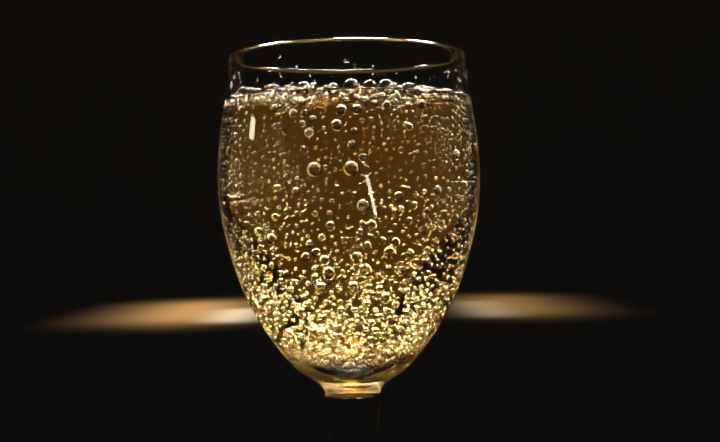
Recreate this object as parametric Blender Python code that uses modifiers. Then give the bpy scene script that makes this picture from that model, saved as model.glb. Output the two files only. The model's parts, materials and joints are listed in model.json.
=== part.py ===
"""Glass of prosecco: a stemmed wine glass, the drink in it and the froth round its edge.

Metres, +Z up. The origin is the centre of the foot, on the table. -Y is the side that faces the viewer.
Every piece is turned about Z, from an outline in the XZ plane; the froth then gets its bubbles fused on.
"""

import math
import random

import bpy
from mathutils import Vector, geometry

MM = 0.001

# Glass, outside, from the rim down
GLASS_HEIGHT = 152.0 * MM
RIM_RADIUS = 29.7 * MM
BELLY_RADIUS = 32.95 * MM
BELLY_HEIGHT = 121.0 * MM
BOWL_END_RADIUS = 12.0 * MM
BOWL_END_HEIGHT = 71.6 * MM
STEM_TOP_RADIUS = 6.9 * MM
STEM_TOP_HEIGHT = 66.0 * MM
STEM_WAIST_RADIUS = 4.5 * MM
STEM_WAIST_HEIGHT = 32.0 * MM
FOOT_RADIUS = 31.5 * MM
FOOT_EDGE = 1.1 * MM
FOOT_RISE_RADIUS = 13.0 * MM
FOOT_RISE_HEIGHT = 5.6 * MM
CONTACT_INNER_RADIUS = 23.0 * MM
FOOT_HOLLOW_DEPTH = 0.8 * MM

# Glass, inside
RIM_BEAD = 0.85 * MM
NECK_WALL = 1.4 * MM
NECK_HEIGHT = 147.6 * MM
BELLY_WALL = 1.6 * MM
BOWL_FLOOR_HEIGHT = 74.3 * MM

# Drink and froth
DRINK_LEVEL = 139.7 * MM
CLEARANCE = 0.3 * MM
FROTH_INNER_RADIUS = 23.6 * MM
FROTH_LIP = 0.35 * MM
FROTH_THICKNESS = 0.9 * MM
FROTH_DEPTH_AT_WALL = 3.4 * MM

# Froth bubbles of each size: how many, and their smallest and largest radius
BIG_BUBBLES = (12, 1.7 * MM, 2.3 * MM)
MIDDLE_BUBBLES = (24, 1.05 * MM, 1.4 * MM)
SMALL_BUBBLES = (40, 0.65 * MM, 0.9 * MM)
BUBBLE_SEED = 11

# Stretches of wall with no bubbles: the middle and half the width of each, in degrees round from -Y
FROTH_GAPS = ((-13, 5), (45, 4), (128, 7), (205, 5), (262, 8))

TURN_STEPS = 48
SPAN_POINTS = 9


def at(radius, height):
    """A point of an outline: its distance from the axis, and its height above the table."""
    return Vector((radius, 0.0, height))


def curved_span(start, start_handle, end_handle, end, points=SPAN_POINTS):
    """Points along a cubic curve between two points of an outline."""
    return list(geometry.interpolate_bezier(start, start_handle, end_handle, end, points))


def joined(*spans):
    """One outline from several that meet end to end."""
    outline = []
    for span in spans:
        for point in span:
            if not outline or (point - outline[-1]).length > 0.01 * MM:
                outline.append(point)
    return outline


def outer_outline():
    """The outside of the glass, from the top of the rim down to the edge of its underside."""
    rim = at(RIM_RADIUS, GLASS_HEIGHT - RIM_BEAD)
    belly = at(BELLY_RADIUS, BELLY_HEIGHT)
    bowl_end = at(BOWL_END_RADIUS, BOWL_END_HEIGHT)
    stem_top = at(STEM_TOP_RADIUS, STEM_TOP_HEIGHT)
    waist = at(STEM_WAIST_RADIUS, STEM_WAIST_HEIGHT)
    rise = at(FOOT_RISE_RADIUS, FOOT_RISE_HEIGHT)
    shoulder = at(FOOT_RADIUS - FOOT_EDGE, 2 * FOOT_EDGE)
    return joined(
        curved_span(
            rim,
            at(RIM_RADIUS + 1.0 * MM, GLASS_HEIGHT - 11 * MM),
            at(BELLY_RADIUS, BELLY_HEIGHT + 10 * MM),
            belly,
            6,
        ),
        curved_span(
            belly,
            at(BELLY_RADIUS, BELLY_HEIGHT - 24 * MM),
            at(BOWL_END_RADIUS + 6.9 * MM, BOWL_END_HEIGHT + 4.0 * MM),
            bowl_end,
            11,
        ),
        curved_span(
            bowl_end,
            at(BOWL_END_RADIUS - 3.2 * MM, BOWL_END_HEIGHT - 1.9 * MM),
            at(STEM_TOP_RADIUS, STEM_TOP_HEIGHT + 2.6 * MM),
            stem_top,
            5,
        ),
        curved_span(
            stem_top,
            at(STEM_TOP_RADIUS - 0.4 * MM, STEM_TOP_HEIGHT - 9 * MM),
            at(STEM_WAIST_RADIUS, STEM_WAIST_HEIGHT + 15 * MM),
            waist,
            4,
        ),
        curved_span(
            waist,
            at(STEM_WAIST_RADIUS, STEM_WAIST_HEIGHT - 17 * MM),
            at(FOOT_RISE_RADIUS - 6.0 * MM, FOOT_RISE_HEIGHT + 2.2 * MM),
            rise,
            7,
        ),
        curved_span(
            rise,
            at(FOOT_RISE_RADIUS + 6.0 * MM, FOOT_RISE_HEIGHT - 1.9 * MM),
            at(FOOT_RADIUS - 8.0 * MM, 2 * FOOT_EDGE + 0.4 * MM),
            shoulder,
            4,
        ),
        foot_edge(),
    )


def foot_edge():
    """The half-round edge of the foot."""
    steps = 5
    centre = at(FOOT_RADIUS - FOOT_EDGE, FOOT_EDGE)
    angles = [math.pi / 2 - math.pi * i / (steps - 1) for i in range(steps)]
    return [centre + FOOT_EDGE * Vector((math.cos(a), 0, math.sin(a))) for a in angles]


def rim_bead():
    """The fire-polished rim, half round, from its inner side over the top to its outer side."""
    steps = 5
    centre = at(RIM_RADIUS - RIM_BEAD, GLASS_HEIGHT - RIM_BEAD)
    angles = [math.pi - math.pi * i / (steps - 1) for i in range(steps)]
    return [centre + RIM_BEAD * Vector((math.cos(a), 0, math.sin(a))) for a in angles]


def inner_outline():
    """The inside of the bowl, from the middle of its floor up to the rim."""
    floor = at(0, BOWL_FLOOR_HEIGHT)
    belly = at(BELLY_RADIUS - BELLY_WALL, BELLY_HEIGHT)
    neck_radius = radius_at(outer_outline(), NECK_HEIGHT) - NECK_WALL
    neck = at(neck_radius, NECK_HEIGHT)
    rim = at(RIM_RADIUS - 2 * RIM_BEAD, GLASS_HEIGHT - RIM_BEAD)
    return joined(
        curved_span(
            floor,
            at(19.5 * MM, BOWL_FLOOR_HEIGHT),
            at(BELLY_RADIUS - BELLY_WALL, BELLY_HEIGHT - 22 * MM),
            belly,
            11,
        ),
        curved_span(
            belly,
            at(BELLY_RADIUS - BELLY_WALL, BELLY_HEIGHT + 10 * MM),
            at(neck_radius + 1.0 * MM, NECK_HEIGHT - 8 * MM),
            neck,
            6,
        ),
        [neck, rim],
    )


def underside_outline():
    """Under the foot: a flat ring that stands on the table, round a shallow hollow."""
    edge = at(CONTACT_INNER_RADIUS, 0)
    middle = at(0, FOOT_HOLLOW_DEPTH)
    return curved_span(
        edge,
        at(CONTACT_INNER_RADIUS - 5 * MM, 0),
        at(CONTACT_INNER_RADIUS - 10 * MM, FOOT_HOLLOW_DEPTH),
        middle,
        5,
    )


def radius_at(outline, height):
    """The outline's radius at a height, on the last stretch of it that crosses that height."""
    for upper, lower in zip(outline, outline[1:]):
        if (upper.z - height) * (lower.z - height) <= 0 and upper.z != lower.z:
            share = (height - upper.z) / (lower.z - upper.z)
            return upper.x + share * (lower.x - upper.x)
    raise ValueError("the outline does not reach that height")


def drawn_in(outline, distance):
    """The bowl's inner outline moved into the bowl by a distance, square to itself."""
    moved = []
    for i, point in enumerate(outline):
        along = outline[min(i + 1, len(outline) - 1)] - outline[max(i - 1, 0)]
        inward = Vector((-along.z, 0, along.x)).normalized()
        if point.x == 0:
            inward = Vector((0, 0, 1))
        moved.append(point + distance * inward)
    return moved


def froth_underside():
    """Where the froth dips into the drink, from its inner edge out to the wall."""
    wall_height = DRINK_LEVEL - FROTH_DEPTH_AT_WALL
    wall = at(radius_at(inner_outline(), wall_height) - CLEARANCE, wall_height)
    inner = at(FROTH_INNER_RADIUS, DRINK_LEVEL + FROTH_LIP)
    return curved_span(
        inner,
        inner + Vector((1.2 * MM, 0, -1.6 * MM)),
        wall + Vector((-2.4 * MM, 0, 0.5 * MM)),
        wall,
        6,
    )


def turned(pieces, name, outline, material, closed=False):
    """A solid of revolution in the collection: the outline, turned about Z by a Screw modifier."""
    mesh = bpy.data.meshes.new(name)
    edges = [(i, i + 1) for i in range(len(outline) - 1)]
    if closed:
        edges.append((len(outline) - 1, 0))
    mesh.from_pydata(outline, edges, [])
    obj = bpy.data.objects.new(name, mesh)
    pieces.objects.link(obj)
    screw = obj.modifiers.new("Turn", "SCREW")
    screw.axis = "Z"
    screw.steps = TURN_STEPS
    screw.render_steps = TURN_STEPS
    screw.use_merge_vertices = True
    screw.merge_threshold = 0.01 * MM
    screw.use_smooth_shade = True
    mesh.materials.append(material)
    return obj


def surface(name, colour, roughness, ior, transmission=1.0):
    """A Principled BSDF material."""
    material = bpy.data.materials.new(name)
    material.use_nodes = True
    shader = material.node_tree.nodes["Principled BSDF"]
    shader.inputs["Base Color"].default_value = (*colour, 1.0)
    shader.inputs["Roughness"].default_value = roughness
    shader.inputs["Metallic"].default_value = 0.0
    shader.inputs["Transmission Weight"].default_value = transmission
    shader.inputs["IOR"].default_value = ior
    material.diffuse_color = (*colour, 0.5)
    return material


def make_glass(pieces):
    """The glass, one solid: bowl, stem and foot."""
    outline = joined(inner_outline(), rim_bead(), outer_outline(), underside_outline())
    turned(pieces, "glass", outline, surface("clear glass", (0.97, 0.98, 0.98), 0.0, ior=1.5))


def make_drink(pieces):
    """The drink, up to its level, with a step at the wall for the froth to sit in."""
    froth = froth_underside()
    wall = drawn_in(inner_outline(), CLEARANCE)
    step = [point - Vector((0, 0, 0.5 * MM)) for point in froth]
    step[0] = at(FROTH_INNER_RADIUS - CLEARANCE, DRINK_LEVEL)
    side = [point for point in wall if point.z < step[-1].z - 0.5 * MM]
    surface_middle = at(0, DRINK_LEVEL)
    outline = [surface_middle, *step, *reversed(side)]
    turned(pieces, "prosecco", outline, surface("prosecco", (0.85, 0.58, 0.18), 0.0, ior=1.34))


def froth_core_outline():
    """The froth's ring without its bubbles: top, wall side and underside."""
    top = DRINK_LEVEL + FROTH_THICKNESS
    underside = froth_underside()
    wall_top = at(radius_at(inner_outline(), top) - CLEARANCE, top)
    inner_top = at(FROTH_INNER_RADIUS + 0.7 * MM, top)
    return [inner_top, wall_top, *reversed(underside)]


def clear_of_gaps(angle):
    """False in the stretches of wall where the froth has no bubbles."""
    return all(
        abs((angle - middle + 180) % 360 - 180) > half_width for middle, half_width in FROTH_GAPS
    )


def froth_bubbles():
    """Centre and radius of each bubble, the biggest first, all clear of the wall and the drink."""
    rng = random.Random(BUBBLE_SEED)
    wall = inner_outline()
    top = DRINK_LEVEL + FROTH_THICKNESS
    placed = []
    for number, smallest, largest in (BIG_BUBBLES, MIDDLE_BUBBLES, SMALL_BUBBLES):
        made = 0
        for _ in range(number * 30):
            if made == number:
                break
            angle = rng.uniform(0, 360)
            radius = rng.uniform(smallest, largest)
            height = top + rng.uniform(-0.35, 0.1) * radius
            outermost = radius_at(wall, height + radius) - CLEARANCE - 0.15 * MM - radius
            innermost = FROTH_INNER_RADIUS + 0.7 * MM + 0.35 * radius
            from_axis = rng.uniform(innermost, outermost)
            if height - radius < DRINK_LEVEL + FROTH_LIP:
                from_axis = max(from_axis, FROTH_INNER_RADIUS + 1.3 * radius)
            turn = math.radians(angle)
            centre = Vector((from_axis * math.sin(turn), -from_axis * math.cos(turn), height))
            spread = all((centre - c).length > 0.85 * (radius + r) for c, r in placed)
            if clear_of_gaps(angle) and from_axis <= outermost and spread:
                placed.append((centre, radius))
                made += 1
    return placed


def make_froth(pieces):
    """The froth, one solid: a ring against the wall with its bubbles fused on."""
    material = surface("froth", (0.95, 0.86, 0.62), 0.05, transmission=0.8, ior=1.34)
    froth = turned(pieces, "froth", froth_core_outline(), material, closed=True)
    bubbles = bpy.data.collections.new("froth bubbles")
    bpy.context.scene.collection.children.link(bubbles)
    for centre, radius in froth_bubbles():
        bpy.ops.mesh.primitive_ico_sphere_add(
            subdivisions=2 if radius > SMALL_BUBBLES[2] else 1, radius=radius, location=centre
        )
        bubble = bpy.context.object
        for collection in bubble.users_collection:
            collection.objects.unlink(bubble)
        bubbles.objects.link(bubble)
    join = froth.modifiers.new("Bubbles", "BOOLEAN")
    join.operation = "UNION"
    join.operand_type = "COLLECTION"
    join.collection = bubbles
    join.solver = "MANIFOLD"
    with bpy.context.temp_override(object=froth, active_object=froth, selected_objects=[froth]):
        for modifier in [m.name for m in froth.modifiers]:
            bpy.ops.object.modifier_apply(modifier=modifier)
    for bubble in list(bubbles.objects):
        bpy.data.objects.remove(bubble)
    bpy.data.collections.remove(bubbles)
    froth.data.shade_smooth()
    froth.data.set_sharp_from_angle(angle=math.radians(50))


for old in list(bpy.data.objects):
    bpy.data.objects.remove(old)
glass_of_prosecco = bpy.data.collections.new("glass of prosecco")
bpy.context.scene.collection.children.link(glass_of_prosecco)
make_glass(glass_of_prosecco)
make_drink(glass_of_prosecco)
make_froth(glass_of_prosecco)
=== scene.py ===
"""Glass of prosecco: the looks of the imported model.

A stemmed glass, the drink in it with its bubbles, the froth along the wall and the drops above it.
Metres, +Z up. The glass stands at the origin, -Y faces the viewer, and angles run round from -Y to +X.
"""

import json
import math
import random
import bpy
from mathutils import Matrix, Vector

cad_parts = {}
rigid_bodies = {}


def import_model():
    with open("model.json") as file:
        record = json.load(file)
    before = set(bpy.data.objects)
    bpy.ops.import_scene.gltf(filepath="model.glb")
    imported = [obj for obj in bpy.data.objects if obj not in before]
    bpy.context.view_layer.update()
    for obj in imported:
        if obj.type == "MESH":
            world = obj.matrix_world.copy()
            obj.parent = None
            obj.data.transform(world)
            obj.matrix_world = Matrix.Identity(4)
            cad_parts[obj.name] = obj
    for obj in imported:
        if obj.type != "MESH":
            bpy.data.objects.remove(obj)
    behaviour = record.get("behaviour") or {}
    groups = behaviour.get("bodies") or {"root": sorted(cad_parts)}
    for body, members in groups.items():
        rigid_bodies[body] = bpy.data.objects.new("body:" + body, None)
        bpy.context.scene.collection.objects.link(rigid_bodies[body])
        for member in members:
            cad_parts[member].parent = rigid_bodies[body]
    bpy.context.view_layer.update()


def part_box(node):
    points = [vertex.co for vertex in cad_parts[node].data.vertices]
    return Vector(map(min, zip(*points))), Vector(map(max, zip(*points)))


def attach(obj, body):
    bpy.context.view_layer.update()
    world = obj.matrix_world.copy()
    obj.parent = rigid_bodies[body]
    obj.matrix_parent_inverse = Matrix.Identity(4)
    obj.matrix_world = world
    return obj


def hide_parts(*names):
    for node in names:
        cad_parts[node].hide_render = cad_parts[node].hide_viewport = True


bl_info = {
    "name": "Glass of Prosecco",
    "version": (1, 0, 0),
    "blender": (4, 5, 0),
    "location": "3D View > Sidebar > Prosecco",
    "description": "Models a glass of sparkling wine with its bubbles, froth and drops",
    "category": "Add Mesh",
}

import bpy
from bpy.props import FloatProperty, FloatVectorProperty, IntProperty, PointerProperty
from bpy.types import Operator, Panel, PropertyGroup
from mathutils import Matrix, Vector, geometry, noise

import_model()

MM = 0.001
BODY = "root"
GLASS_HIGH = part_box("glass")[1]
DRINK_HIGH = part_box("prosecco")[1]
FROTH_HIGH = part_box("froth")[1]
BELLY_HEIGHT = 121 * MM
TURN_STEPS = 128
DRINK_STEPS = 96
GLASS_IOR = 1.5
LIQUID_IOR = 1.34

# A bubble up to each of these radii is copied from a ball of the first, second and third fineness.
BALL_LIMITS = (0.46 * MM, 0.8 * MM, 1.3 * MM)
# Hollows in the surface, and films, with a larger radius than this are made from the finer of two balls.
LARGE_HOLLOW = 1.2 * MM
LARGE_FILM = 0.9 * MM

# The large bubbles on the near wall: angle in degrees, height and radius in millimetres.
FRONT_BUBBLES = (
    (1.5, 122, 1.85), (-14.5, 122, 1.75), (2, 127.5, 1.1), (-1, 124.5, 1.2), (6.5, 124.5, 1.1),
    (-18.5, 126.5, 1.1), (-34, 136.5, 1.15), (-24, 135, 1.2), (-18.5, 135, 0.9), (-15, 133.5, 1.0),
    (-19.5, 132.5, 0.9), (-16.5, 130.5, 1.2), (-2.5, 135.5, 1.35), (-4.5, 132, 1.45), (4.5, 135.5, 1.35),
    (3, 130.5, 0.9), (28, 131.5, 0.9), (35.5, 137, 1.25), (-8, 109, 1.25), (-20, 112, 0.7),
    (-14.5, 112, 0.75), (-8, 112, 0.7), (-12, 106.5, 0.9), (-18, 105, 1.0), (-15, 105, 0.9),
    (-15.5, 103, 1.15), (-21, 102, 1.15), (-12, 101, 1.35), (6.5, 113.5, 1.6), (3.5, 112.5, 0.9),
    (10, 109, 1.35), (6, 109.5, 0.8), (5, 107.5, 0.9), (4.5, 105.5, 0.8), (1.5, 104.5, 1.15),
    (8.5, 104.5, 1.0), (9.5, 106.5, 0.8), (9.5, 103, 0.9), (3.5, 101.5, 1.5), (22, 115.5, 1.25),
    (29.5, 113.5, 1.0), (19.5, 102.5, 1.6), (21.5, 105, 1.25), (27.5, 110, 0.9), (42, 117, 1.15),
    (-10.5, 98, 1.6), (-15.5, 94.5, 1.5), (-9.5, 95, 1.4), (7.5, 98.5, 1.7), (2, 94.5, 1.5), (16, 94, 1.15),
)
# The large domes of the froth on the near wall, in the same terms.
FRONT_DOMES = (
    (-37.5, 140.6, 1.9), (-20.5, 140.6, 1.85), (-6, 140.3, 1.4), (2.5, 140.7, 2.0), (11, 140.6, 1.8),
    (19, 140.7, 1.95), (30.5, 140.2, 1.85),
)
# The drops on the near wall above the drink, in the same terms.
FRONT_DROPS = (
    (-42, 146.5, 0.3), (-37, 145.5, 0.35), (-30.5, 144, 0.35), (-22.5, 146, 0.35), (-16, 143.5, 0.35),
    (-0.5, 146.5, 0.4), (1, 146.5, 0.3), (4, 145.5, 0.45), (6.5, 145, 0.25), (12, 145.5, 0.25),
    (11.5, 143.5, 0.3), (23, 144, 0.3), (32.5, 143, 0.25), (-59, 145, 0.35), (-31.5, 148.5, 0.3),
    (-32.5, 148, 0.25), (-57.5, 150, 0.25), (43.5, 143.5, 0.25),
)
# The froth hangs deeper in patches: middle and half width in degrees, depth in millimetres.
FROTH_PATCHES = (
    (20, 24, 4.8), (-26, 19, 4.4), (-57, 17, 2.8), (60, 14, 2.0), (88, 18, 2.4), (128, 16, 3.2),
    (165, 14, 2.4), (196, 13, 3.0), (238, 22, 2.8), (276, 18, 2.4),
)
# The layers of the froth: smallest and largest radius in millimetres, places tried, share of its depth.
FROTH_LAYERS = ((1.3, 1.9, 90, 0.3), (0.8, 1.3, 1500, 0.8), (0.5, 0.8, 1200, 1.0), (0.36, 0.5, 600, 1.0))
# Froth shallower than this is thin, and most of its places stay empty.
THIN_FROTH = 0.7 * MM

# Bubbles cling closer together in clumps: angle and height, then half width in degrees and half height.
CLUMPS = (
    (-64, 129, 17, 15), (-54, 101, 15, 9), (60, 128, 15, 15), (50, 110, 17, 10), (-30, 92, 22, 7),
    (28, 93, 24, 8), (0, 86, 60, 7), (120, 105, 20, 12), (200, 100, 30, 10), (265, 118, 20, 14),
)
# Kinds of clinging bubble: the share up to each, then its smallest and largest radius in millimetres.
CLINGING_SIZES = ((0.3, 0.2, 0.32), (0.9, 0.32, 0.46), (0.985, 0.46, 0.75), (1.0, 0.75, 1.0))
# Further round than this many degrees from the viewer's side, fewer bubbles cling.
FAR_SIDE = 98

BOWL_MIDDLE = Vector((0, 0, 0.11))
# Lights for the glass alone: name, then degrees to the right of straight behind, height and distance,
# then width and height, then watts.
OBJECT_LIGHTS = (
    ("high back light", (4, 0.49, 0.30), (0.09, 0.05), 13),
    ("high left light", (-30, 0.48, 0.31), (0.09, 0.05), 14),
    ("high right light", (33, 0.49, 0.31), (0.09, 0.05), 15),
    ("far left light", (-55, 0.48, 0.31), (0.10, 0.06), 36),
    ("far right light", (53, 0.48, 0.31), (0.10, 0.06), 36),
)
# Warm lights for the glass alone, in the same terms. The dim panels fill the drink with light, and leave
# the bare wall above it dark.
WARM_LIGHTS = (
    ("top light", (0, 0.60, 0.02), (0.10, 0.10), 0.5),
    ("low panel", (0, 0.108, 0.36), (0.52, 0.125), 0.015),
    ("high panel", (0, 0.355, 0.36), (0.52, 0.30), 0.024),
)
# Lights that show only as reflections on the bowl.
REFLECTED_LIGHTS = (
    ("side light", (-90, 0.225, 0.42), (0.045, 0.03), 0.06),
    ("thin front light", (161.7, 0.062, 0.42), (0.017, 0.145), 0.15),
)
THIN_LIGHT_LEAN = math.radians(24)
# Lights close above the floor behind, facing down: name, place as above, width and height, watts.
FLOOR_LIGHTS = (
    ("left floor light", (-10.0, 0.12, 1.22), (0.02, 0.34), 0.12),
    ("right floor light", (9.0, 0.11, 1.24), (0.02, 0.34), 0.045),
)
# The paler middles of the pools of light that those make, in the same terms.
FLOOR_CORES = (
    ("left floor core", (-7.5, 0.09, 1.13), (0.03, 0.20), 0.03),
    ("right floor core", (7.5, 0.09, 1.17), (0.02, 0.26), 0.011),
)
FLOOR_SPREAD = math.radians(110)
CORE_SPREAD = math.radians(60)


def length(name, description, default):
    """A size in metres that a user can change."""
    return FloatProperty(
        name=name, description=description, default=default, min=0, precision=5, unit="LENGTH"
    )


def colour(name, description, default):
    """A colour that a user can change."""
    return FloatVectorProperty(
        name=name, description=description, default=default, size=3, min=0, max=1, subtype="COLOR"
    )


def count(name, description, default):
    """A number of things that a user can change."""
    return IntProperty(name=name, description=description, default=default, min=0)


class GlassSettings(PropertyGroup):
    """Sizes of the glass."""

    height: length("Height", "Table to rim", GLASS_HIGH[2])
    belly_radius: length("Belly radius", "Widest outer radius of the bowl", GLASS_HIGH[0])
    rim_radius: length("Rim radius", "Outer radius at the rim", 29.7 * MM)
    rim_bead: length("Rim bead", "Radius of the rounded rim", 0.85 * MM)
    neck_wall: length("Neck wall", "Wall thickness under the rim", 1.4 * MM)
    belly_wall: length("Belly wall", "Wall thickness at the belly", 1.6 * MM)
    floor_height: length("Bowl floor", "Height of the inside of the bowl", 75.8 * MM)
    stem_radius: length("Stem radius", "Radius of the stem at its waist", 4.5 * MM)
    foot_radius: length("Foot radius", "Outer radius of the foot", 31.5 * MM)
    tint: colour("Tint", "Colour of the glass", (0.985, 0.99, 0.985))
    shade: colour("Shade", "Second colour of the glass, where it is thicker", (0.96, 0.975, 0.965))


class DrinkSettings(PropertyGroup):
    """The drink and the bubbles in it."""

    level: length("Level", "Height of the drink's surface", DRINK_HIGH[2])
    wall_overlap: length("Wall overlap", "How far the drink reaches into the wall", 0.15 * MM)
    meniscus: length("Meniscus", "How far the drink climbs the wall", 0.6 * MM)
    meniscus_width: length("Meniscus width", "Width of the rise along the wall", 2 * MM)
    gold: colour("Gold", "Colour that the drink lets through", (0.98, 0.84, 0.48))
    strength: FloatProperty(
        name="Strength", description="Depth of the drink's colour, per metre", default=38, min=0
    )
    pale: colour("Pale", "Lightest tone of the drink's surface", (1.0, 0.99, 0.95))
    deep: colour("Deep", "Deepest tone of the drink's surface", (1.0, 0.96, 0.86))
    clinging: count("Clinging bubbles", "Places tried for bubbles on the glass", 60000)
    chains: count("Chains", "Strings of rising bubbles", 9)
    drifting: count("Drifting bubbles", "Small bubbles away from the glass", 260)
    seed: count("Seed", "Scatter of the bubbles", 5)


class FrothSettings(PropertyGroup):
    """The froth along the wall."""

    film: length("Film", "Thickness of a bubble's film", 0.1 * MM)
    width: length("Width", "Width of the ring of froth", DRINK_HIGH[0] - 24 * MM)
    top: length("Top", "Highest point of the froth", FROTH_HIGH[2])
    pale: colour("Pale", "Lightest tone of the froth", (1.0, 0.99, 0.94))
    deep: colour("Deep", "Deepest tone of the froth", (1.0, 0.93, 0.76))
    seed: count("Seed", "Scatter of the froth", 3)


class DropSettings(PropertyGroup):
    """The drops on the wall above the drink."""

    drops: count("Drops", "Drops on the wall, beside those on the near side", 70)
    flatness: FloatProperty(
        name="Flatness", description="How far a drop stands out, against its width", default=0.55, min=0
    )
    seed: count("Seed", "Scatter of the drops", 8)


class StageSettings(PropertyGroup):
    """Floor, light and camera."""

    floor_radius: length("Floor radius", "Where the floor starts to curve up", 1.6)
    cove_radius: length("Cove radius", "Radius of the curve from the floor into the wall", 1.2)
    wall_height: length("Wall height", "Height of the wall round the floor", 2.4)
    floor_pale: colour("Floor colour", "Lighter tone of the floor", (0.82, 0.80, 0.77))
    floor_deep: colour("Floor second colour", "Deeper tone of the floor", (0.76, 0.74, 0.70))
    light_colour: colour("Light colour", "Colour of the bright lights", (1.0, 0.96, 0.93))
    warm_colour: colour("Warm colour", "Colour of the top light and the dim panels", (1.0, 0.53, 0.11))
    reflection_colour: colour("Reflection colour", "Reflections, and the pools' middles", (1.0, 0.86, 0.60))
    pool_colour: colour("Pool colour", "Colour of the soft light on the floor", (1.0, 0.55, 0.20))
    dimness: FloatProperty(name="Background light", description="Strength of the background", default=0.006)
    camera_distance: length("Camera distance", "From the lens to the stem", 0.299)
    camera_height: length("Camera height", "Height of the lens above the table", 110.1 * MM)
    camera_aside: length("Camera aside", "How far the lens stands to the right", 2.6 * MM)
    camera_roll: FloatProperty(
        name="Camera roll",
        description="Lean of the camera",
        default=math.radians(1.0),
        subtype="ANGLE",
    )
    lens: FloatProperty(name="Lens", description="Focal length", default=59.2, unit="CAMERA")


def deselect_all():
    """Nothing selected, in object mode."""
    if bpy.context.object and bpy.context.object.mode != "OBJECT":
        bpy.ops.object.mode_set(mode="OBJECT")
    bpy.ops.object.select_all(action="DESELECT")


def take(obj):
    """The object as the only one selected, and active."""
    deselect_all()
    obj.select_set(True)
    bpy.context.view_layer.objects.active = obj


def span(start, start_handle, end_handle, end, points):
    """Points along a cubic curve, each given as (radius, height)."""
    ends = [Vector((r, 0, z)) for r, z in (start, start_handle, end_handle, end)]
    return list(geometry.interpolate_bezier(*ends, points))


def arc(centre, radius, start, end, points):
    """Points along an arc round (radius, height), from one angle to another in degrees."""
    turn = [math.radians(start + (end - start) * i / (points - 1)) for i in range(points)]
    return [Vector((centre[0] + radius * math.cos(a), 0, centre[1] + radius * math.sin(a))) for a in turn]


def joined(*spans):
    """One outline from several that meet end to end."""
    outline = []
    for points in spans:
        for point in points:
            if not outline or (point - outline[-1]).length > 0.005 * MM:
                outline.append(point)
    return outline


def radius_at(outline, height):
    """The outline's distance from the axis at a height."""
    for one, other in zip(outline, outline[1:]):
        if (one.z - height) * (other.z - height) <= 0 and one.z != other.z:
            share = (height - one.z) / (other.z - one.z)
            return one.x + share * (other.x - one.x)
    raise ValueError("the outline does not reach that height")


def outside(glass):
    """The outside of the glass, from the rim down to the middle of its underside."""
    rim = (glass.rim_radius, glass.height - glass.rim_bead)
    belly = (glass.belly_radius, BELLY_HEIGHT)
    bowl_end = (12 * MM, 71.6 * MM)
    stem_top = (6.9 * MM, 66 * MM)
    waist = (glass.stem_radius, 32 * MM)
    rise = (13 * MM, 5.6 * MM)
    edge = 1.1 * MM
    shoulder = (glass.foot_radius - edge, 2 * edge)
    return joined(
        span(rim, (rim[0] + 1 * MM, rim[1] - 10.15 * MM), (belly[0], belly[1] + 10 * MM), belly, 16),
        span(belly, (belly[0], belly[1] - 24 * MM), (18.9 * MM, 75.6 * MM), bowl_end, 34),
        span(bowl_end, (8.8 * MM, 69.7 * MM), (stem_top[0], 68.6 * MM), stem_top, 12),
        span(stem_top, (6.5 * MM, 57 * MM), (waist[0], 47 * MM), waist, 14),
        span(waist, (waist[0], 15 * MM), (7 * MM, 7.8 * MM), rise, 20),
        span(rise, (19 * MM, 3.7 * MM), (23.5 * MM, 2.6 * MM), shoulder, 12),
        arc((glass.foot_radius - edge, edge), edge, 90, -90, 9),
        span((23 * MM, 0), (18 * MM, 0), (13 * MM, 0.8 * MM), (0, 0.8 * MM), 10),
    )


def inside(glass):
    """The inside of the bowl, from the middle of its floor up to the rim."""
    belly = (glass.belly_radius - glass.belly_wall, BELLY_HEIGHT)
    neck_height = glass.height - 4.4 * MM
    neck = (radius_at(outside(glass), neck_height) - glass.neck_wall, neck_height)
    return joined(
        span((0, glass.floor_height), (19.5 * MM, glass.floor_height), (belly[0], 99 * MM), belly, 36),
        span(belly, (belly[0], belly[1] + 10 * MM), (neck[0] + 1 * MM, neck[1] - 8 * MM), neck, 16),
        [Vector((glass.rim_radius - 2 * glass.rim_bead, 0, glass.height - glass.rim_bead))],
    )


def surface_line(glass, drink):
    """The edge of the drink's surface, from its flat middle out over the meniscus to the wall."""
    wall = inside(glass)
    top = drink.level + drink.meniscus
    start = (radius_at(wall, drink.level) - drink.meniscus_width, drink.level)
    end = (radius_at(wall, top), top)
    start_handle = (start[0] + 0.65 * drink.meniscus_width, start[1])
    end_handle = (end[0] - 0.4 * drink.meniscus, end[1] - 0.6 * drink.meniscus)
    return span(start, start_handle, end_handle, end, 10)


def surface_height(line, from_axis):
    """Height of the drink's surface at a distance from the axis."""
    for one, other in zip(line, line[1:]):
        if one.x <= from_axis < other.x:
            return one.z + (other.z - one.z) * (from_axis - one.x) / (other.x - one.x)
    return line[0].z if from_axis < line[0].x else line[-1].z


def turned(name, outline, steps):
    """The outline drawn out point by point and spun round the axis."""
    deselect_all()
    bpy.ops.mesh.primitive_plane_add(size=MM, location=outline[0])
    obj = bpy.context.object
    obj.name = obj.data.name = name
    bpy.ops.object.transform_apply(location=True, rotation=True, scale=True)
    bpy.ops.object.mode_set(mode="EDIT")
    bpy.ops.mesh.merge(type="CENTER")
    for here, there in zip(outline, outline[1:]):
        bpy.ops.mesh.extrude_region_move(TRANSFORM_OT_translate={"value": there - here})
    bpy.ops.mesh.select_all(action="SELECT")
    bpy.ops.mesh.spin(steps=steps, angle=math.tau, center=(0, 0, 0), axis=(0, 0, 1))
    bpy.ops.mesh.select_all(action="SELECT")
    bpy.ops.mesh.remove_doubles(threshold=0.002 * MM)
    bpy.ops.mesh.normals_make_consistent(inside=False)
    bpy.ops.object.mode_set(mode="OBJECT")
    bpy.ops.object.shade_smooth()
    return obj


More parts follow.
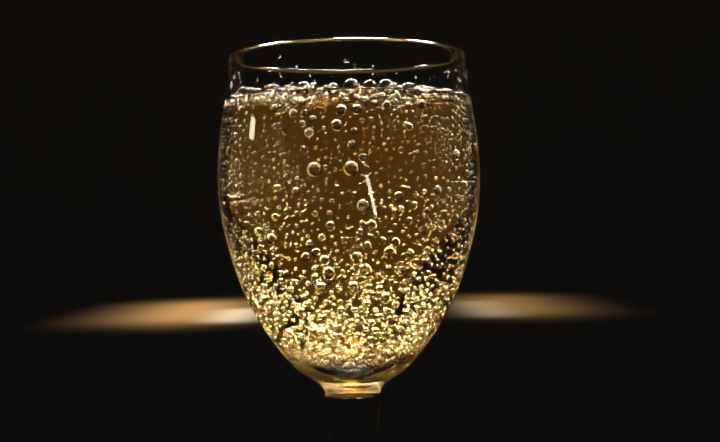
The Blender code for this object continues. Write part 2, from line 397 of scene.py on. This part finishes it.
def ball(name, detail, hollow=False):
    """A unit ball to copy, from 20 faces up. A hollow one faces inwards: it is a bubble's wall."""
    deselect_all()
    if detail == 1:
        bpy.ops.mesh.primitive_cube_add(size=2)
    else:
        bpy.ops.mesh.primitive_ico_sphere_add(subdivisions=max(detail, 1), radius=1)
    obj = bpy.context.object
    obj.name = obj.data.name = name
    bpy.ops.object.mode_set(mode="EDIT")
    bpy.ops.mesh.select_all(action="SELECT")
    if detail == 1:
        bpy.ops.mesh.subdivide(number_cuts=1)
        bpy.ops.transform.tosphere(value=1)
    if hollow:
        bpy.ops.mesh.flip_normals()
    bpy.ops.object.mode_set(mode="OBJECT")
    if detail == 1:
        furthest = max(v.co.length for v in obj.data.vertices)
        obj.scale = [1 / furthest] * 3
        bpy.ops.object.transform_apply(location=False, rotation=False, scale=True)
    bpy.ops.object.shade_smooth()
    return obj


def copied(template, place):
    """A copy of a template, with its own mesh moved to its place."""
    obj = template.copy()
    obj.data = template.data.copy()
    obj.data.transform(place)
    bpy.context.collection.objects.link(obj)
    return obj


def join(name, objects):
    """Objects joined into the first of them."""
    deselect_all()
    for obj in objects:
        obj.select_set(True)
    bpy.context.view_layer.objects.active = objects[0]
    bpy.ops.object.join()
    objects[0].name = objects[0].data.name = name
    return objects[0]


def remove(*objects):
    """Templates and cutters that have done their work."""
    for obj in objects:
        bpy.data.objects.remove(obj)


def place_of(centre, radius):
    """A ball's place: moved and sized."""
    return Matrix.Translation(centre) @ Matrix.Scale(radius, 4)


def polar(angle, from_axis, height):
    """A point at an angle in degrees round from -Y, at a distance from the axis and a height."""
    turn = math.radians(angle)
    return Vector((from_axis * math.sin(turn), -from_axis * math.cos(turn), height))


class Crowd:
    """Bubbles that keep clear of each other, found through a grid of cells."""

    CELL = 4.8 * MM

    def __init__(self):
        self.cells = {}

    def key(self, point):
        """The cell that a point lies in."""
        return tuple(math.floor(c / self.CELL) for c in point)

    def add(self, centre, radius, gap):
        """Takes the bubble in where it keeps its gap to every other, and says whether it did."""
        x, y, z = self.key(centre)
        for i in (x - 1, x, x + 1):
            for j in (y - 1, y, y + 1):
                for k in (z - 1, z, z + 1):
                    for other, size in self.cells.get((i, j, k), ()):
                        if (other - centre).length < radius + size + gap:
                            return False
        self.cells.setdefault((x, y, z), []).append((centre, radius))
        return True


def wall_point(outline, share):
    """A point of the inner wall at a share of the way along it, and the way inwards there."""
    position = share * (len(outline) - 1)
    index = min(int(position), len(outline) - 2)
    point = outline[index].lerp(outline[index + 1], position - index)
    along = (outline[index + 1] - outline[index]).normalized()
    return point, Vector((-along.z, 0, along.x))


def share_at(outline, height):
    """How far along an outline that rises a height lies."""
    for index, (one, other) in enumerate(zip(outline, outline[1:])):
        if one.z <= height <= other.z and other.z > one.z:
            return (index + (height - one.z) / (other.z - one.z)) / (len(outline) - 1)
    raise ValueError("the outline does not reach that height")


def touching(outline, share, angle, radius):
    """The centre of a bubble that touches the inner wall."""
    point, inward = wall_point(outline, share)
    centre = point + inward * (radius + 0.03 * MM)
    return polar(angle, centre.x, centre.z)


def evenly(outline, pieces):
    """The outline with its points evenly spaced."""
    total = sum((b - a).length for a, b in zip(outline, outline[1:]))
    even = [outline[0]]
    for a, b in zip(outline, outline[1:]):
        cuts = max(1, round((b - a).length / total * pieces))
        even += [a.lerp(b, (i + 1) / cuts) for i in range(cuts)]
    return even


class BubblePlan:
    """Where every bubble is: above the surface, in it, or sunk in the drink."""

    def __init__(self, context):
        self.glass = context.scene.prosecco_glass
        self.drink = context.scene.prosecco_drink
        self.froth = context.scene.prosecco_froth
        self.wall = inside(self.glass)
        self.line = surface_line(self.glass, self.drink)
        self.wet = self.wetted()
        self.crowd = Crowd()
        self.above = []
        self.surface = []
        self.sunk = []
        self.add_front()
        self.add_froth()
        self.add_clinging()
        self.add_chains()
        self.add_drifting()

    def wetted(self):
        """The inner wall from the bowl's floor up to the drink's level, its points evenly spaced."""
        level = self.drink.level
        outline = [p for p in self.wall if p.z < level]
        outline.append(Vector((radius_at(self.wall, level), 0, level)))
        return evenly(outline, 200)

    def add(self, centre, radius, gap):
        """Takes a bubble in where it fits, and sorts it."""
        if not self.crowd.add(centre, radius, gap):
            return False
        level = surface_height(self.line, centre.xy.length)
        if centre.z - radius > level - 0.02 * MM:
            self.above.append((centre, radius))
        elif centre.z + radius > level - 0.06 * MM:
            self.surface.append((centre, radius))
        else:
            self.sunk.append((centre, radius))
        return True

    def add_front(self):
        """The large bubbles and domes that the near wall shows."""
        for angle, height, size in FRONT_DOMES:
            from_axis = radius_at(self.wall, height * MM) - (size + 0.05) * MM
            self.add(polar(angle, from_axis, height * MM), size * MM, -0.5 * MM)
        for angle, height, size in FRONT_BUBBLES:
            share = share_at(self.wet, height * MM)
            self.add(touching(self.wet, share, angle, size * MM), size * MM, -0.1 * MM)

    def froth_depth(self, angle):
        """How far below the surface the froth hangs at an angle. Between the patches it is thin."""
        depth = 0.5
        for middle, half, deep in FROTH_PATCHES:
            away = abs((angle - middle + 180) % 360 - 180)
            if away < half:
                depth = max(depth, deep * (1 - (away / half) ** 2) ** 0.5)
        return depth * MM

    def froth_skipped(self, angle, depth):
        """The share of the froth's places that stay empty, where it is thin and on the far side."""
        if depth < THIN_FROTH:
            return 0.8
        return 0.75 if abs(angle - 180) < 75 else 0

    def add_froth(self):
        """The ring of froth: large domes first, then ever smaller bubbles between them."""
        rng = random.Random(self.froth.seed)
        for small, large, tries, hang in FROTH_LAYERS:
            for _ in range(tries):
                radius = rng.uniform(small, large) * MM
                angle = rng.uniform(0, 360)
                depth = self.froth_depth(angle)
                if rng.random() < self.froth_skipped(angle, depth):
                    continue
                out = self.froth.width * rng.random() ** 2.4
                nearness = 1 - out / self.froth.width
                from_axis = radius_at(self.wall, self.drink.level) - radius - 0.05 * MM - out
                level = surface_height(self.line, from_axis)
                low = level - depth * hang * nearness
                high = level + 0.3 * radius + 0.5 * depth * nearness
                height = rng.uniform(min(low, level - 0.3 * radius), high)
                reach = radius_at(self.wall, height) - radius - 0.05 * MM
                if height + radius < self.froth.top:
                    self.add(polar(angle, min(from_axis, reach), height), radius, -0.03 * radius)

    def clumped(self, angle, height):
        """How far inside a clump of bubbles a place is, from 0 to 1."""
        inside_one = 0
        for middle, middle_height, half, half_height in CLUMPS:
            aside = ((angle - middle + 180) % 360 - 180) / half
            above = (height / MM - middle_height) / half_height
            inside_one = max(inside_one, 1 - aside**2 - above**2)
        return inside_one

    def clinging_radius(self, rng, low, clump):
        """A clinging bubble's radius: most are small, and larger in clumps and low in the bowl."""
        roll = rng.random()
        growth = MM * (1 + 1.3 * low**1.5 + 0.7 * clump * (1 - low))
        small, large = next(sizes for share, *sizes in CLINGING_SIZES if roll < share)
        return rng.uniform(small, large) * growth

    def add_clinging(self):
        """Bubbles on the glass, closer together in some places, at the sides and low in the bowl."""
        rng = random.Random(self.drink.seed)
        widest = max(p.x for p in self.wet)
        bottom = self.wet[0].z
        for _ in range(self.drink.clinging):
            share = rng.random()
            point, _inward = wall_point(self.wet, share)
            angle = rng.uniform(0, 360)
            if rng.random() > max(point.x, 4 * MM) / widest:
                continue
            low = 1 - (point.z - bottom) / (self.drink.level - bottom)
            side = abs((angle + 180) % 360 - 180)
            skipped = 0.985 if low < 0.6 else 0.88
            if side > FAR_SIDE and rng.random() < skipped:
                continue
            clump = self.clumped(angle, point.z)
            patches = 0.6 * noise.noise(polar(angle, point.x, point.z) / (9 * MM))
            crowding = 0.64 + patches + 0.4 * clump + 0.35 * low**2.2
            radius = self.clinging_radius(rng, low, clump)
            gap = max(0.06, 1.25 - 1.2 * crowding) * MM
            centre = touching(self.wet, share, angle, radius)
            if centre.z + radius < self.drink.level - 0.5 * MM:
                self.add(centre, radius, gap)

    def add_chains(self):
        """Strings of small bubbles that rise near the wall."""
        rng = random.Random(self.drink.seed + 1)
        for _ in range(self.drink.chains):
            share = rng.uniform(0.1, 0.6)
            point, _inward = wall_point(self.wet, share)
            angle = rng.uniform(0, 360)
            from_axis = max(point.x - rng.uniform(1.5, 5) * MM, 0.5 * MM)
            height = point.z + 2 * MM
            end = rng.uniform(height, self.drink.level - 4 * MM)
            radius = rng.uniform(0.16, 0.24) * MM
            while height < end:
                sway = Vector((rng.gauss(0, 0.18), rng.gauss(0, 0.18), 0)) * MM
                self.add(polar(angle, from_axis, height) + sway, radius, 0.1 * MM)
                height += rng.uniform(1.3, 2.6) * MM
                radius = min(radius * 1.03, 0.35 * MM)

    def add_drifting(self):
        """A few small bubbles on their way up, anywhere in the drink."""
        rng = random.Random(self.drink.seed + 2)
        for _ in range(self.drink.drifting):
            height = rng.uniform(self.wet[0].z + 3 * MM, self.drink.level - 4 * MM)
            widest = radius_at(self.wall, height) - 2 * MM
            from_axis = widest * rng.random() ** 0.5
            radius = rng.uniform(0.18, 0.34) * MM
            self.add(polar(rng.uniform(0, 360), from_axis, height), radius, 0.3 * MM)


def drink_outline(glass, drink):
    """The drink's own outline, from the middle of its surface out over the meniscus and down the wall."""
    surface = surface_line(glass, drink)
    body = [p for p in inside(glass) if p.z < surface[-1].z - 0.2 * MM]
    side = []
    for i, point in enumerate(body):
        along = body[min(i + 1, len(body) - 1)] - body[max(i - 1, 0)]
        outward = Vector((along.z, 0, -along.x)).normalized()
        if i == 0:
            outward = Vector((0, 0, -1))
        side.append(point + drink.wall_overlap * outward)
    flat = [Vector((surface[0].x * i / 12, 0, drink.level)) for i in range(12)]
    lip = surface[-1] + Vector((drink.wall_overlap, 0, 0))
    return joined(flat, surface[:-1], [lip], reversed(side))


def new_group(name, inputs, outputs):
    """A shader node group with its sockets: each is a name, a kind and, for an input, a default."""
    group = bpy.data.node_groups.new(name, "ShaderNodeTree")
    for socket, kind, default in inputs:
        item = group.interface.new_socket(socket, in_out="INPUT", socket_type=kind)
        item.default_value = default
    for socket, kind in outputs:
        group.interface.new_socket(socket, in_out="OUTPUT", socket_type=kind)
    return group, group.nodes.new("NodeGroupInput"), group.nodes.new("NodeGroupOutput")


def noise_node(group, source, scale, detail, offset=0.0):
    """A noise texture on object coordinates, its scale times an input of the group."""
    coordinates = group.nodes.new("ShaderNodeTexCoord")
    texture = group.nodes.new("ShaderNodeTexNoise")
    texture.inputs["Detail"].default_value = detail
    shift = group.nodes.new("ShaderNodeVectorMath")
    shift.inputs[1].default_value = (offset, offset, offset)
    multiply = group.nodes.new("ShaderNodeMath")
    multiply.operation = "MULTIPLY"
    multiply.inputs[1].default_value = scale
    group.links.new(coordinates.outputs["Object"], shift.inputs[0])
    group.links.new(shift.outputs["Vector"], texture.inputs["Vector"])
    group.links.new(source, multiply.inputs[0])
    group.links.new(multiply.outputs["Value"], texture.inputs["Scale"])
    return texture


def smears_group():
    """Faint smears and unevenness of a smooth surface."""
    group, enter, leave = new_group(
        "smears",
        (
            ("Scale", "NodeSocketFloat", 40),
            ("Clean", "NodeSocketFloat", 0),
            ("Smeared", "NodeSocketFloat", 0.03),
        ),
        (("Roughness", "NodeSocketFloat"), ("Height", "NodeSocketFloat")),
    )
    smears = noise_node(group, enter.outputs["Scale"], 1, 5)
    waves = noise_node(group, enter.outputs["Scale"], 0.6, 1, 3.7)
    spread = group.nodes.new("ShaderNodeMapRange")
    spread.interpolation_type = "SMOOTHSTEP"
    spread.inputs["From Min"].default_value = 0.52
    spread.inputs["From Max"].default_value = 0.72
    group.links.new(smears.outputs["Fac"], spread.inputs["Value"])
    group.links.new(enter.outputs["Clean"], spread.inputs["To Min"])
    group.links.new(enter.outputs["Smeared"], spread.inputs["To Max"])
    group.links.new(spread.outputs["Result"], leave.inputs["Roughness"])
    group.links.new(waves.outputs["Fac"], leave.inputs["Height"])
    return group


def tones_group():
    """Two tones that drift into each other over the surface."""
    group, enter, leave = new_group(
        "tones",
        (
            ("Scale", "NodeSocketFloat", 40),
            ("Pale", "NodeSocketColor", (1, 1, 1, 1)),
            ("Deep", "NodeSocketColor", (1, 1, 1, 1)),
        ),
        (("Colour", "NodeSocketColor"),),
    )
    drift = noise_node(group, enter.outputs["Scale"], 1, 3, 1.3)
    mix = group.nodes.new("ShaderNodeMix")
    mix.data_type = "RGBA"
    group.links.new(drift.outputs["Fac"], mix.inputs["Factor"])
    group.links.new(enter.outputs["Pale"], mix.inputs["A"])
    group.links.new(enter.outputs["Deep"], mix.inputs["B"])
    group.links.new(mix.outputs["Result"], leave.inputs["Colour"])
    return group


def placed(tree, name, builder):
    """A node that holds a shared group, which is built the first time that it is asked for."""
    node = tree.nodes.new("ShaderNodeGroup")
    node.node_tree = bpy.data.node_groups.get(name) or builder()
    return node


def new_material(name, scale, pale, deep):
    """A material whose base colour drifts between two tones."""
    material = bpy.data.materials.new(name)
    material.use_nodes = True
    tree = material.node_tree
    shader = tree.nodes["Principled BSDF"]
    tones = placed(tree, "tones", tones_group)
    tones.inputs["Scale"].default_value = scale
    tones.inputs["Pale"].default_value = (*pale, 1)
    tones.inputs["Deep"].default_value = (*deep, 1)
    tree.links.new(tones.outputs["Colour"], shader.inputs["Base Color"])
    return material, tree, shader


def clear_material(name, ior, scale, pale, deep, smeared, waves):
    """Clear glass or liquid, smeared in places and faintly uneven."""
    material, tree, shader = new_material(name, scale, pale, deep)
    shader.inputs["IOR"].default_value = ior
    shader.inputs["Transmission Weight"].default_value = 1.0
    smears = placed(tree, "smears", smears_group)
    smears.inputs["Scale"].default_value = scale
    smears.inputs["Smeared"].default_value = smeared
    tree.links.new(smears.outputs["Roughness"], shader.inputs["Roughness"])
    bump = tree.nodes.new("ShaderNodeBump")
    bump.inputs["Strength"].default_value = waves
    bump.inputs["Distance"].default_value = 0.2 * MM
    tree.links.new(smears.outputs["Height"], bump.inputs["Height"])
    tree.links.new(bump.outputs["Normal"], shader.inputs["Normal"])
    return material


def drink_material(drink):
    """The golden drink: clear, coloured by its depth."""
    material = clear_material("prosecco", LIQUID_IOR, 60, drink.pale, drink.deep, 0.0, 0.05)
    tree = material.node_tree
    volume = tree.nodes.new("ShaderNodeVolumeAbsorption")
    volume.inputs["Color"].default_value = (*drink.gold, 1)
    volume.inputs["Density"].default_value = drink.strength
    tree.links.new(volume.outputs["Volume"], tree.nodes["Material Output"].inputs["Volume"])
    return material


def dress(obj, material, slot, *nodes):
    """Gives a piece its material and its place in the frame."""
    obj.data.materials.clear()
    obj.data.materials.append(material)
    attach(obj, BODY)
    if nodes:
        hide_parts(*nodes)


class PROSECCO_OT_glass(Operator):
    """Turns the glass: bowl, stem and foot."""

    bl_idname = "prosecco.glass"
    bl_label = "Glass"

    def execute(self, context):
        glass = context.scene.prosecco_glass
        rim_centre = (glass.rim_radius - glass.rim_bead, glass.height - glass.rim_bead)
        rim = arc(rim_centre, glass.rim_bead, 180, 0, 9)
        obj = turned("wine_glass", joined(inside(glass), rim, outside(glass)), TURN_STEPS)
        material = clear_material("clear glass", GLASS_IOR, 45, glass.tint, glass.shade, 0.02, 0.04)
        dress(obj, material, "clear_glass", "glass")
        return {"FINISHED"}


class PROSECCO_OT_drink(Operator):
    """Fills the glass with the drink and the bubbles in it."""

    bl_idname = "prosecco.drink"
    bl_label = "Drink"

    def execute(self, context):
        glass = context.scene.prosecco_glass
        drink = context.scene.prosecco_drink
        plan = BubblePlan(context)
        obj = turned("sparkling_wine", drink_outline(glass, drink), DRINK_STEPS)
        self.dimple(obj, plan.surface)
        balls = [ball("hollow", detail, True) for detail in range(len(BALL_LIMITS) + 1)]
        copies = []
        for centre, radius in plan.sunk:
            template = balls[sum(radius > limit for limit in BALL_LIMITS)]
            copies.append(copied(template, place_of(centre, radius)))
        join("sparkling_wine", [obj, *copies])
        remove(*balls)
        dress(obj, drink_material(drink), "prosecco", "prosecco")
        return {"FINISHED"}

    def dimple(self, obj, bubbles):
        """Hollows in the drink's surface under the bubbles that stand in it."""
        cutters = bpy.data.collections.new("surface bubbles")
        small = ball("surface bubble", 2)
        large = ball("large surface bubble", 3)
        for centre, radius in bubbles:
            cutter = copied(large if radius > LARGE_HOLLOW else small, place_of(centre, radius))
            bpy.context.collection.objects.unlink(cutter)
            cutters.objects.link(cutter)
        modifier = obj.modifiers.new("Hollows", "BOOLEAN")
        modifier.operation = "DIFFERENCE"
        modifier.operand_type = "COLLECTION"
        modifier.collection = cutters
        modifier.solver = "MANIFOLD"
        take(obj)
        bpy.ops.object.modifier_apply(modifier="Hollows")
        remove(small, large, *cutters.objects)
        bpy.data.collections.remove(cutters)


class PROSECCO_OT_froth(Operator):
    """Blows the domes of the froth: thin films over the bubbles that stand in the surface."""

    bl_idname = "prosecco.froth"
    bl_label = "Froth"

    def execute(self, context):
        froth = context.scene.prosecco_froth
        plan = BubblePlan(context)
        domes = []
        small = ball("film", 2)
        large = ball("large film", 3)
        for centre, radius in plan.surface:
            level = surface_height(plan.line, centre.xy.length) - 0.05 * MM
            if centre.z + radius < level + 0.15 * MM:
                continue
            dome = copied(large if radius > LARGE_FILM else small, place_of(centre, radius))
            take(dome)
            bpy.ops.object.mode_set(mode="EDIT")
            bpy.ops.mesh.select_all(action="SELECT")
            bpy.ops.mesh.bisect(plane_co=(0, 0, level), plane_no=(0, 0, 1), clear_inner=True)
            bpy.ops.object.mode_set(mode="OBJECT")
            domes.append(dome)
        for centre, radius in plan.above:
            domes.append(copied(large if radius > LARGE_FILM else small, place_of(centre, radius)))
        remove(small, large)
        obj = join("froth_bubbles", domes)
        wall = obj.modifiers.new("Film", "SOLIDIFY")
        wall.thickness = froth.film
        wall.offset = -1
        take(obj)
        bpy.ops.object.modifier_apply(modifier="Film")
        bpy.ops.object.shade_smooth()
        material = clear_material("froth film", LIQUID_IOR, 300, froth.pale, froth.deep, 0.05, 0.1)
        dress(obj, material, "froth", "froth")
        return {"FINISHED"}


class PROSECCO_OT_drops(Operator):
    """Sprinkles drops on the inner wall above the drink."""

    bl_idname = "prosecco.drops"
    bl_label = "Drops"

    def execute(self, context):
        glass = context.scene.prosecco_glass
        drink = context.scene.prosecco_drink
        drops = context.scene.prosecco_drops
        rng = random.Random(drops.seed)
        wall = inside(glass)
        line = [p for p in wall if p.z > drink.level - 1 * MM]
        places = [(angle, height * MM, size * MM) for angle, height, size in FRONT_DROPS]
        low = drink.level + 3.4 * MM
        for _ in range(drops.drops):
            height = low + (glass.height - 3 * MM - low) * rng.random() ** 1.6
            places.append((rng.uniform(60, 300), height, rng.uniform(0.2, 0.55) * MM))
        template = ball("drop", 3)
        pieces = []
        for angle, height, size in places:
            point, inward = wall_point(line, share_at(line, height))
            centre = point - inward * 0.12 * size
            upright = Matrix.Rotation(math.radians(angle - 90), 4, "Z")
            shape = Matrix.Diagonal((drops.flatness, 1, rng.uniform(0.95, 1.3), 1))
            place = Matrix.Translation(polar(angle, centre.x, centre.z)) @ upright
            pieces.append(copied(template, place @ shape @ Matrix.Scale(size, 4)))
        remove(template)
        obj = join("wall_drops", pieces)
        material = clear_material("drops", LIQUID_IOR, 200, drink.pale, drink.deep, 0.0, 0.02)
        dress(obj, material, "prosecco")
        return {"FINISHED"}


class PROSECCO_OT_stage(Operator):
    """Sets up the floor, the light and the camera."""

    bl_idname = "prosecco.stage"
    bl_label = "Stage"

    def execute(self, context):
        stage = context.scene.prosecco_stage
        self.floor(stage)
        self.lights(context, stage)
        self.camera(context, stage)
        self.render_settings(context.scene)
        return {"FINISHED"}

    def floor(self, stage):
        """A plain pale floor that curves up into a wall all round."""
        reach = stage.floor_radius
        curve = arc((reach, stage.cove_radius), stage.cove_radius, -90, 0, 24)
        wall = Vector((reach + stage.cove_radius, 0, stage.wall_height))
        floor = turned("floor", joined([Vector((0, 0, 0))], curve, [wall]), 96)
        material, _tree, shader = new_material("pale floor", 2, stage.floor_pale, stage.floor_deep)
        shader.inputs["Roughness"].default_value = 0.6
        floor.data.materials.append(material)

    def lights(self, context, stage):
        """Soft lights behind the glass, soft pools of light on the floor, and a dim background."""
        pieces = bpy.data.collections.new("lit pieces")
        for obj in context.scene.objects:
            if obj.type == "MESH" and obj.name != "floor":
                pieces.objects.link(obj)
        groups = (
            (OBJECT_LIGHTS, stage.light_colour),
            (WARM_LIGHTS, stage.warm_colour),
            (REFLECTED_LIGHTS, stage.reflection_colour),
        )
        for lights, tint in groups:
            for name, place, size, power in lights:
                light = self.area(name, place, BOWL_MIDDLE, size, power, tint)
                light.light_linking.receiver_collection = pieces
                light.visible_transmission = lights != REFLECTED_LIGHTS
                if name == "thin front light":
                    light.rotation_euler.rotate_axis("Z", THIN_LIGHT_LEAN)
        pools = (
            (FLOOR_LIGHTS, stage.pool_colour, FLOOR_SPREAD),
            (FLOOR_CORES, stage.reflection_colour, CORE_SPREAD),
        )
        for lights, tint, spread in pools:
            for name, place, size, power in lights:
                angle, _height, distance = place
                light = self.area(name, place, polar(180 - angle, distance, 0), size, power, tint)
                light.data.spread = spread
        world = bpy.data.worlds.new("dim studio")
        world.use_nodes = True
        background = world.node_tree.nodes["Background"]
        background.inputs["Color"].default_value = (*stage.light_colour, 1)
        background.inputs["Strength"].default_value = stage.dimness
        context.scene.world = world

    def area(self, name, place, aim, size, power, colour):
        """A soft rectangular light at an angle from straight behind, a height and a distance."""
        data = bpy.data.lights.new(name, "AREA")
        data.shape = "RECTANGLE"
        data.size, data.size_y = size
        data.energy = power
        data.color = colour
        light = bpy.data.objects.new(name, data)
        bpy.context.collection.objects.link(light)
        angle, height, distance = place
        light.location = polar(180 - angle, distance, height)
        light.visible_camera = False
        light.rotation_euler = (aim - light.location).to_track_quat("-Z", "Y").to_euler()
        return light

    def camera(self, context, stage):
        """The viewpoint: level with the bowl, close, leaning a little."""
        data = bpy.data.cameras.new("camera")
        data.lens = stage.lens
        data.sensor_width = 36
        data.clip_start = 0.01
        camera = bpy.data.objects.new("camera", data)
        context.collection.objects.link(camera)
        place = Matrix.Translation((stage.camera_aside, -stage.camera_distance, stage.camera_height))
        upright = Matrix.Rotation(math.radians(90), 4, "X")
        camera.matrix_world = place @ upright @ Matrix.Rotation(-stage.camera_roll, 4, "Z")
        context.scene.camera = camera

    def render_settings(self, scene):
        """Enough bounces for a glass full of bubbles, and no light thrown through it onto the floor."""
        scene.cycles.max_bounces = 32
        scene.cycles.transmission_bounces = 32
        scene.cycles.glossy_bounces = 8
        scene.cycles.sample_clamp_indirect = 60
        scene.cycles.caustics_refractive = False
        scene.cycles.caustics_reflective = False
        scene.view_settings.view_transform = "Standard"
        scene.cycles.transparent_max_bounces = 24


class PROSECCO_PT_panel(Panel):
    """Lists the steps that build the glass of prosecco."""

    bl_label = "Glass of Prosecco"
    bl_idname = "PROSECCO_PT_panel"
    bl_space_type = "VIEW_3D"
    bl_region_type = "UI"
    bl_category = "Prosecco"

    def draw(self, context):
        for operator in OPERATORS:
            self.layout.operator(operator.bl_idname)


SETTINGS = {
    "prosecco_glass": GlassSettings,
    "prosecco_drink": DrinkSettings,
    "prosecco_froth": FrothSettings,
    "prosecco_drops": DropSettings,
    "prosecco_stage": StageSettings,
}
OPERATORS = (
    PROSECCO_OT_glass,
    PROSECCO_OT_drink,
    PROSECCO_OT_froth,
    PROSECCO_OT_drops,
    PROSECCO_OT_stage,
)


def register():
    """Registers the settings, the steps and the panel."""
    for cls in (*SETTINGS.values(), *OPERATORS, PROSECCO_PT_panel):
        bpy.utils.register_class(cls)
    for name, settings in SETTINGS.items():
        setattr(bpy.types.Scene, name, PointerProperty(type=settings))


def unregister():
    """Takes them away again."""
    for name in SETTINGS:
        delattr(bpy.types.Scene, name)
    for cls in (PROSECCO_PT_panel, *reversed(OPERATORS), *reversed(SETTINGS.values())):
        bpy.utils.unregister_class(cls)


def main():
    """Builds every piece in order."""
    register()
    bpy.ops.prosecco.glass()
    bpy.ops.prosecco.drink()
    bpy.ops.prosecco.froth()
    bpy.ops.prosecco.drops()
    bpy.ops.prosecco.stage()


if __name__ == "__main__":
    main()
